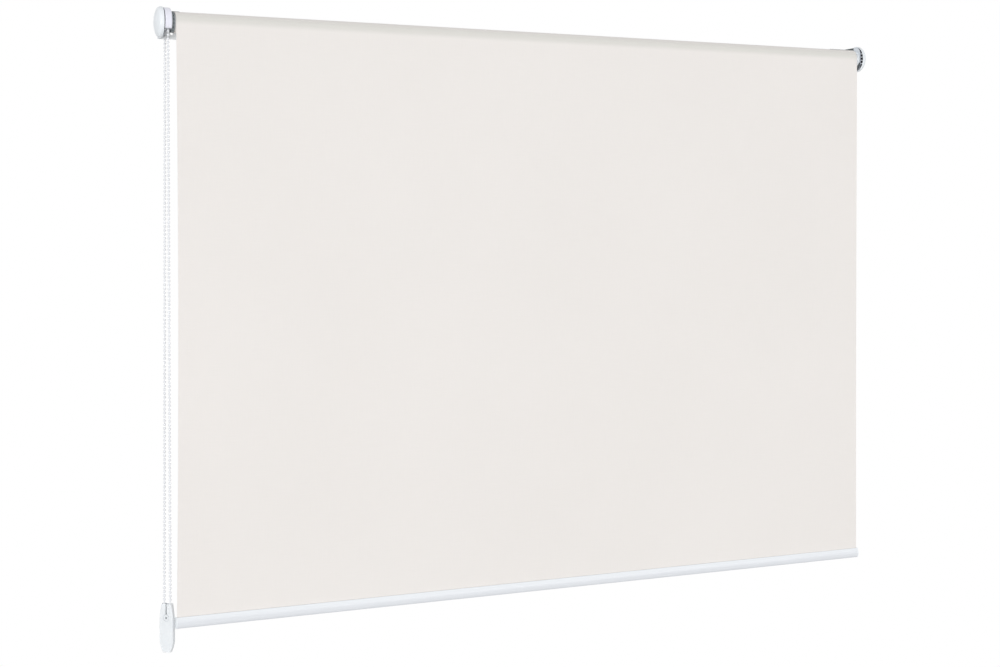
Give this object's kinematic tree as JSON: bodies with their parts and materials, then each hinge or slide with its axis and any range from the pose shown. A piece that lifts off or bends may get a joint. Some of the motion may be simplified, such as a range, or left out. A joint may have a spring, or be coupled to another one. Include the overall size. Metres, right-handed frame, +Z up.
{
  "type": "roller blind",
  "caption": "Wall-mounted roller blind: plain cloth on a thin tube between domed end covers, with a bead chain loop, a clutch, a chain weight and a bottom bar.",
  "frame": {"origin": "middle of the four wall screw holes, on the wall, level with the roller's axis", "axes": "+X along the roller from the chain end to the far end, +Y into the wall, +Z up"},
  "size_m": [1.3206, 0.0577, 0.9937],
  "materials": {
    "bracket_steel": "grey coated steel sheet, satin",
    "white_plastic": "white moulded plastic, half gloss",
    "grey_plastic": "dark grey moulded nylon, matt",
    "spring_steel": "bright spring steel",
    "tube_aluminium": "mill finish extrusion",
    "cloth": "fine plain weave, warm off-white, matt",
    "bar_enamel": "white enamel on an aluminium extrusion, satin",
    "chain_plastic": "white beads moulded on a white cord",
    "clear_white_plastic": "milky white moulded plastic"
  },
  "bodies": {
    "brackets": {"chain_side_bracket": "bracket_steel", "idle_side_bracket": "bracket_steel", "chain_side_cap": "white_plastic", "idle_side_cap": "white_plastic", "chain_guard": "white_plastic", "clutch_core": "grey_plastic", "clutch_retaining_ring": "spring_steel", "fabric_panel": "cloth", "chain_cord": "chain_plastic", "chain_beads": "chain_plastic", "tensioner_front": "clear_white_plastic", "tensioner_back": "clear_white_plastic"},
    "roller": {"roller_tube": "tube_aluminium", "fabric_roll": "cloth", "chain_wheel": "grey_plastic", "drive_drum": "grey_plastic", "clutch_springs": "spring_steel", "idle_plug": "white_plastic", "idle_plug_cap": "grey_plastic"},
    "bottom_bar": {"bottom_bar": "bar_enamel", "bar_end_cap_chain_side": "white_plastic", "bar_end_cap_idle_side": "white_plastic", "fabric_retainer": "grey_plastic"},
    "idle_pin": {"idle_pin": "spring_steel", "idle_spring": "spring_steel"}
  },
  "joints": [
    {"name": "roller_turn", "type": "hinge", "parent": "brackets", "child": "roller", "pos_m": [0, -0.034, 0], "axis": [-1, 0, 0], "range_deg": [0, 2706], "deforming": ["chain_cord", "chain_beads"]},
    {"name": "bar_lift", "type": "slide", "parent": "brackets", "child": "bottom_bar", "axis": [0, 0, 1], "range_m": [0, 0.884], "deforming": ["fabric_panel"]},
    {"name": "idle_pin_slide", "type": "slide", "parent": "brackets", "child": "idle_pin", "axis": [-1, 0, 0], "range_m": [0, 0.004], "stiffness_N_per_m": 800, "springref_m": -0.006, "deforming": ["idle_spring"]}
  ],
  "couplings": [
    {"joint": "bar_lift", "follows": "roller_turn", "m_per_rad": 0.0187}
  ]
}
